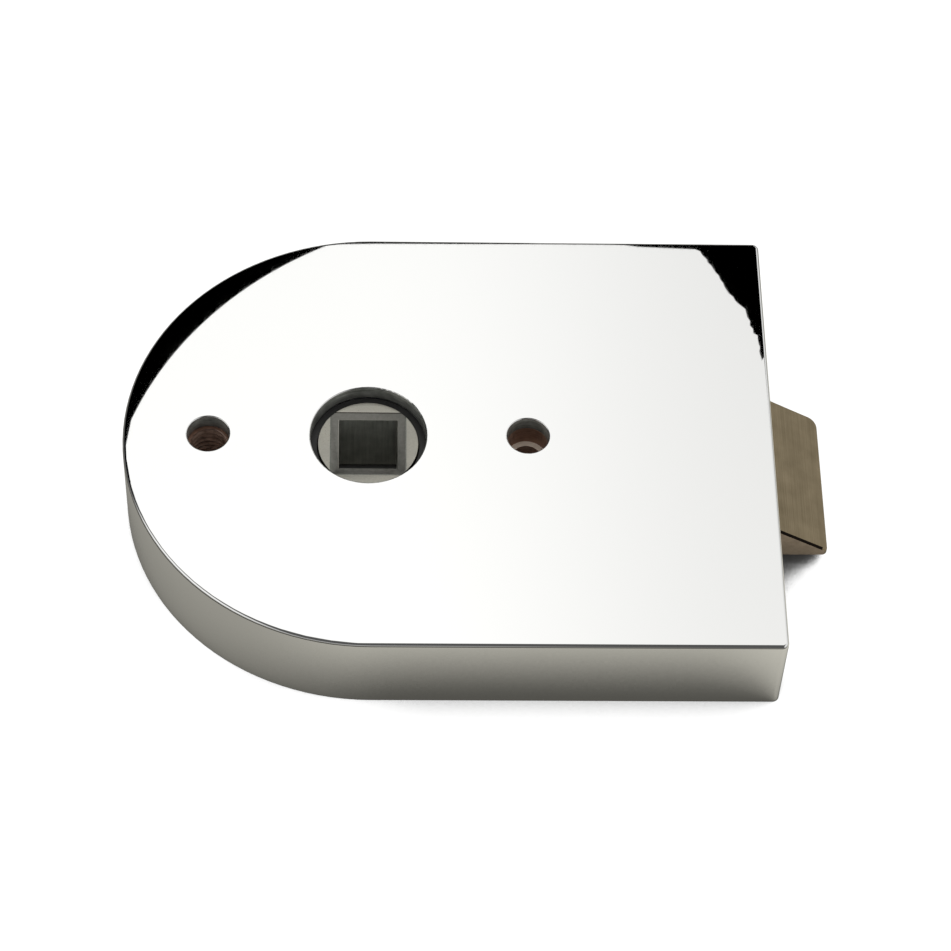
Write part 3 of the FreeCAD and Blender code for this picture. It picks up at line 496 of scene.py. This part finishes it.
chrome = chromePlate(chromeLook)
nickel, shadedCastSide, darkShade = map(patternedMaterial, (nickelLook, shadedCastSideLook, darkShadeLook))
followerSteel, coined, broached = map(patternedMaterial, (followerLook, leadLook, broachedLook))
brass, tapped, faced = map(patternedMaterial, (brassLook, litTappedLook, paleLedgeLook))
shadedCastWall, zinc, screwSteel, wire = map(patternedMaterial, (shadedCastWallLook, zincLook, screwLook, wireLook))
rubber, blackAcetal, whiteAcetal = map(patternedMaterial, (rubberLook, blackAcetalLook, whiteAcetalLook))

finishes = {
    "cover": chrome, "latch_bolt": nickel, "follower": followerSteel,
    "rear_fixing_sleeve": brass, "front_fixing_sleeve": brass,
    "back_plate": zinc, "bearing_plate": zinc, "spacer_pillars": zinc, "spring_bridge": zinc,
    "latch_carriage": zinc, "cover_screws": screwSteel, "latch_rivets": screwSteel,
    "follower_washer": screwSteel, "upper_spring_guide": screwSteel, "lower_spring_guide": screwSteel,
    "upper_latch_spring": wire, "lower_latch_spring": wire,
    "glass_pad": rubber, "lower_follower_bush": blackAcetal, "upper_follower_bush": blackAcetal,
    "upper_latch_rail": whiteAcetal, "lower_latch_rail": whiteAcetal,
}
for nodeName, finish in finishes.items():
    mesh = nodes[nodeName].data
    mesh.materials.clear()
    mesh.materials.append(finish)
print("finishes given to", len(finishes), "nodes")


# Softened copies: the shown pieces with their corners rolled over, as plating and tumbling leave them

# How far each piece's corners are rolled over, in millimetres
softEdges = {"cover": 0.08, "follower": 0.06, "latch_bolt": 0.08, "front_fixing_sleeve": 0.05,
             "back_plate": 0.1, "glass_pad": 0.1, "upper_follower_bush": 0.1, "lower_follower_bush": 0.1}
# Faces that meet at more than sharpAngle make an edge and at less than flatAngle are one face, and points
# nearer than joinedReach are one point
sharpAngle, flatAngle, joinedReach = math.radians(28), math.radians(0.3), 0.0005 * mm
# A face looks along an axis when its normal's share there is over facing, and runs along it when the
# share is under upright
facing, upright = 0.9, 0.6
pieceBody = {name: body for body, names in frame["record"]["behaviour"]["bodies"].items() for name in names}


def newPiece(name, work, materials, stoodFor):
    # the mesh in hand becomes a piece that stands for a node, moves with its body and keeps flat faces flat
    bmesh.ops.recalc_face_normals(work, faces=work.faces)
    for face in work.faces:
        face.smooth = True
    mesh = bpy.data.meshes.new(name)
    work.to_mesh(mesh)
    work.free()
    for material in materials:
        mesh.materials.append(material)
    piece = bpy.data.objects.new(name, mesh)
    scene.collection.objects.link(piece)
    weighted = piece.modifiers.new("flat faces stay flat", "WEIGHTED_NORMAL")
    weighted.weight = 100
    weighted.keep_sharp = True
    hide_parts(stoodFor)
    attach(piece, pieceBody[stoodFor])
    return piece


def mergedCopy(nodeName):
    # the node's shape with its doubled points joined and its flat faces whole again
    work = bmesh.new()
    work.from_mesh(nodes[nodeName].data)
    bmesh.ops.remove_doubles(work, verts=work.verts, dist=joinedReach)
    bmesh.ops.dissolve_limit(work, angle_limit=flatAngle, use_dissolve_boundaries=False,
                             verts=work.verts, edges=work.edges, delimit=set())
    return work


def softenEdges(work, edge, filleted=lambda place: False):
    # rolls the sharp edges over, apart from those that have a fillet of their own, with nothing left
    # standing above the shape's own top
    top = max(v.co.z for v in work.verts)
    sharp = [e for e in work.edges if len(e.link_faces) == 2 and e.calc_face_angle(0) > sharpAngle
             and not filleted((e.verts[0].co + e.verts[1].co) / 2 / mm)]
    bmesh.ops.bevel(work, geom=sharp, offset=edge * mm, segments=2, affect="EDGES", profile=0.5,
                    material=-1, clamp_overlap=True)
    for vert in work.verts:
        vert.co.z = min(vert.co.z, top)


def paintFaces(work, index, wanted):
    # the wanted faces, told by their middle in millimetres and their normal, take another finish
    for face in work.faces:
        if wanted(face.calc_center_median() / mm, face.normal):
            face.material_index = index


# The openings through the cover's face: the centre of each and the reach that takes in its edges, the
# heights between which their walls stand, and the height above which their small rim fillets lie
openings = {"places": ((0.0, 0.0, 7.2), (-19.0, 0.0, 2.8), (19.0, 0.0, 2.8)),
            "walls": (9.9, 11.84), "rims": 11.83}


def atOpening(place):
    return any(math.hypot(place.x - x, place.y - y) < reach for x, y, reach in openings["places"])


def isRim(place):
    return atOpening(place) and place.z > openings["rims"]


def isOpeningWall(place, normal):
    low, high = openings["walls"]
    return atOpening(place) and abs(normal.z) < upright and low < place.z < high


def makeCover():
    # mirror chrome, but for the walls of its openings, which are cast zinc with painted shade that deepens
    # downwards
    work = mergedCopy("cover")
    softenEdges(work, softEdges["cover"], isRim)
    paintFaces(work, 1, isOpeningWall)
    newPiece("cover_finished", work, (chrome, shadedCastWall), "cover")


socket = {
    "walls": 3.6, "lead": (3.55, 4.5),  # half widths: the socket's walls, and the coined lead from and to
    "leadBeyond": (0.9, 9.9), "slope": 0.9995,  # the leads lie beyond these heights, and not quite level
    "seamWidth": 0.14, "seamDepth": 0.06,
    "seamAbove": 5.0, "seamAngle": 0.03, "seamFit": 0.02,  # how the edge that the seam follows is found
    "farShadeReach": 0.3,  # how far in from the seam's far side its painted shade reaches
}


def makeFollower(values):
    # the coined lead is set off from the face by a fine seam, and the socket is broached
    work = mergedCopy("follower")
    softenEdges(work, softEdges["follower"])
    inner, outer = values["lead"]
    lower, upper = values["leadBeyond"]

    def fromMiddle(place):
        return max(abs(place.x), abs(place.y))

    def onSeam(point):
        return (point.z > values["seamAbove"] * mm
                and abs(fromMiddle(point) - outer * mm) < values["seamFit"] * mm)

    leadEdges = [e for e in work.edges if len(e.link_faces) == 2
                 and values["seamAngle"] < e.calc_face_angle(0) < sharpAngle
                 and all(onSeam(v.co) for v in e.verts)]
    made = bmesh.ops.bevel(work, geom=leadEdges, offset=values["seamWidth"] / 2 * mm, segments=2,
                           affect="EDGES", profile=0.5, material=-1)
    seam = set(made["faces"])
    for vert in made["verts"]:
        if all(face in seam for face in vert.link_faces):
            vert.co.z -= values["seamDepth"] * mm
    paintFaces(work, 1, lambda place, normal: fromMiddle(place) < values["walls"]
               and abs(normal.z) < upright)
    paintFaces(work, 2, lambda place, normal: inner < fromMiddle(place) < outer
               and not lower <= place.z <= upper and upright < abs(normal.z) < values["slope"])
    # the seam's far side is painted near black as shade, the rest takes the broached steel
    for face in seam:
        face.material_index = 3 if face.calc_center_median().y > (outer - values["farShadeReach"]) * mm else 1
    newPiece("follower_finished", work, (followerSteel, broached, coined, darkShade), "follower")


latch = {
    "head": 48.3, "bevel": 33.5,  # where the head starts, and its bevel's slope in degrees
    "near": -10.2, "lineEnd": 54.4, "lineReach": 0.4,  # the painted dark line of shade along the near edge
    "lineSideways": (-0.97, -0.04), "lineUpwards": 0.04,  # how the normals of its faces lean
}


def makeLatch(values):
    # brushed on its bevel, as cast on its sides, which are painted darker towards the floor, with the near
    # edge between them painted near black as shade
    work = mergedCopy("latch_bolt")
    softenEdges(work, softEdges["latch_bolt"])
    slope = math.radians(values["bevel"])
    bevel = Vector((math.sin(slope), 0, math.cos(slope)))
    side, edge = values["lineSideways"]

    def isSide(place, normal):
        return place.x > values["head"] and abs(normal.y) > facing

    def isShadeLine(place, normal):
        return (values["head"] < place.x < values["lineEnd"] and side < normal.y < edge
                and place.y < values["near"] + values["lineReach"]
                and normal.dot(bevel) > values["lineUpwards"])

    paintFaces(work, 1, isSide)
    paintFaces(work, 2, isShadeLine)
    newPiece("latch_bolt_finished", work, (nickel, shadedCastSide, darkShade), "latch_bolt")


# The ledge lies between these heights, and the narrower bore below it is within this reach
frontSleeve = {"axis": 19.0, "ledge": (6.8, 7.8), "bore": 2.3}


def makeFrontSleeve(values):
    # its ledge is spot-faced and painted pale as a highlight, and the bore below that is drilled and painted
    # light against its shade
    work = mergedCopy("front_fixing_sleeve")
    softenEdges(work, softEdges["front_fixing_sleeve"])
    low, high = values["ledge"]
    paintFaces(work, 1, lambda place, normal: low < place.z < high and normal.z > facing)
    paintFaces(work, 2, lambda place, normal: math.hypot(place.x - values["axis"], place.y) < values["bore"]
               and place.z < low and abs(normal.z) < upright)
    newPiece("front_fixing_sleeve_finished", work, (brass, faced, tapped), "front_fixing_sleeve")


# An M5 thread of 0.8 mm pitch
threadedSleeve = {
    "axis": -19.0, "low": 0.5, "high": 10.0, "outer": 4.0, "root": 2.5, "crest": 2.1,
    "pitch": 0.8, "crestFlat": 0.1, "rootFlat": 0.12, "steps": 48,
    "runIn": 1.5,  # pitches wound below the sleeve, so that its end is cut off clean
    "joined": 0.001, "level": 0.0001,  # how near points are to be one, or to lie in an end's plane
}


def makeThreadedSleeve(values):
    # one pitch of the thread's outline, wound up the bore and cut level at both ends, from which the
    # sleeve's ends and outside are closed
    work = bmesh.new()
    pitch, crest, root = values["pitch"], values["crest"], values["root"]
    flank = (pitch - values["crestFlat"] - values["rootFlat"]) / 2
    rises = (0.0, values["crestFlat"], values["crestFlat"] + flank,
             values["crestFlat"] + flank + values["rootFlat"], pitch)
    reaches = (crest, crest, root, root, crest)
    start = values["low"] - values["runIn"] * pitch
    points = [work.verts.new((reach * mm, 0, (start + rise) * mm)) for rise, reach in zip(rises, reaches)]
    outline = points + [work.edges.new(pair) for pair in zip(points, points[1:])]
    turns = math.ceil((values["high"] - start) / pitch) + 1
    bmesh.ops.spin(work, geom=outline, cent=(0, 0, 0), axis=(0, 0, 1), angle=2 * math.pi * turns,
                   dvec=(0, 0, pitch * mm / values["steps"]), steps=values["steps"] * turns,
                   use_merge=False, use_duplicate=False)
    bmesh.ops.remove_doubles(work, verts=work.verts, dist=values["joined"] * mm)
    near = values["level"] * mm
    for level, way in ((values["low"], -1), (values["high"], 1)):
        bmesh.ops.bisect_plane(work, geom=work.verts[:] + work.edges[:] + work.faces[:], dist=near,
                               plane_co=(0, 0, level * mm), plane_no=(0, 0, way), clear_outer=True)
    rims = []
    for level in (values["low"], values["high"]):
        loop = [e for e in work.edges if e.is_boundary
                and all(abs(v.co.z - level * mm) < near for v in e.verts)]
        grown = bmesh.ops.extrude_edge_only(work, edges=loop)["geom"]
        for vert in (g for g in grown if isinstance(g, bmesh.types.BMVert)):
            vert.co = Vector((*(vert.co.xy.normalized() * values["outer"] * mm), vert.co.z))
        rims += [g for g in grown if isinstance(g, bmesh.types.BMEdge) and g.is_boundary]
    bmesh.ops.bridge_loops(work, edges=rims)
    bmesh.ops.translate(work, vec=(values["axis"] * mm, 0, 0), verts=work.verts)
    bmesh.ops.recalc_face_normals(work, faces=work.faces)
    # the ends keep the duller brass, as painted shade at the rim beside the bore's painted light
    paintFaces(work, 1, lambda place, normal: abs(normal.z) > facing)
    newPiece("rear_sleeve_threaded", work, (tapped, brass), "rear_fixing_sleeve")


def makeSpring(nodeName):
    # a merged copy of the coil, on a mesh of its own; its rear and front ends are found but not used
    work = mergedCopy(nodeName)
    rear, front = (pick(v.co.x for v in work.verts) for pick in (min, max))
    coil = newPiece(nodeName + "_wound", work, (wire,), nodeName)
    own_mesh(coil)


makeCover()
makeFollower(socket)
makeLatch(latch)
makeFrontSleeve(frontSleeve)
makeThreadedSleeve(threadedSleeve)
for nodeName in ("upper_latch_spring", "lower_latch_spring"):
    makeSpring(nodeName)
for nodeName in ("back_plate", "glass_pad", "upper_follower_bush", "lower_follower_bush"):
    work = mergedCopy(nodeName)
    softenEdges(work, softEdges[nodeName])
    newPiece(nodeName + "_finished", work, (finishes[nodeName],), nodeName)
print("finished pieces made")
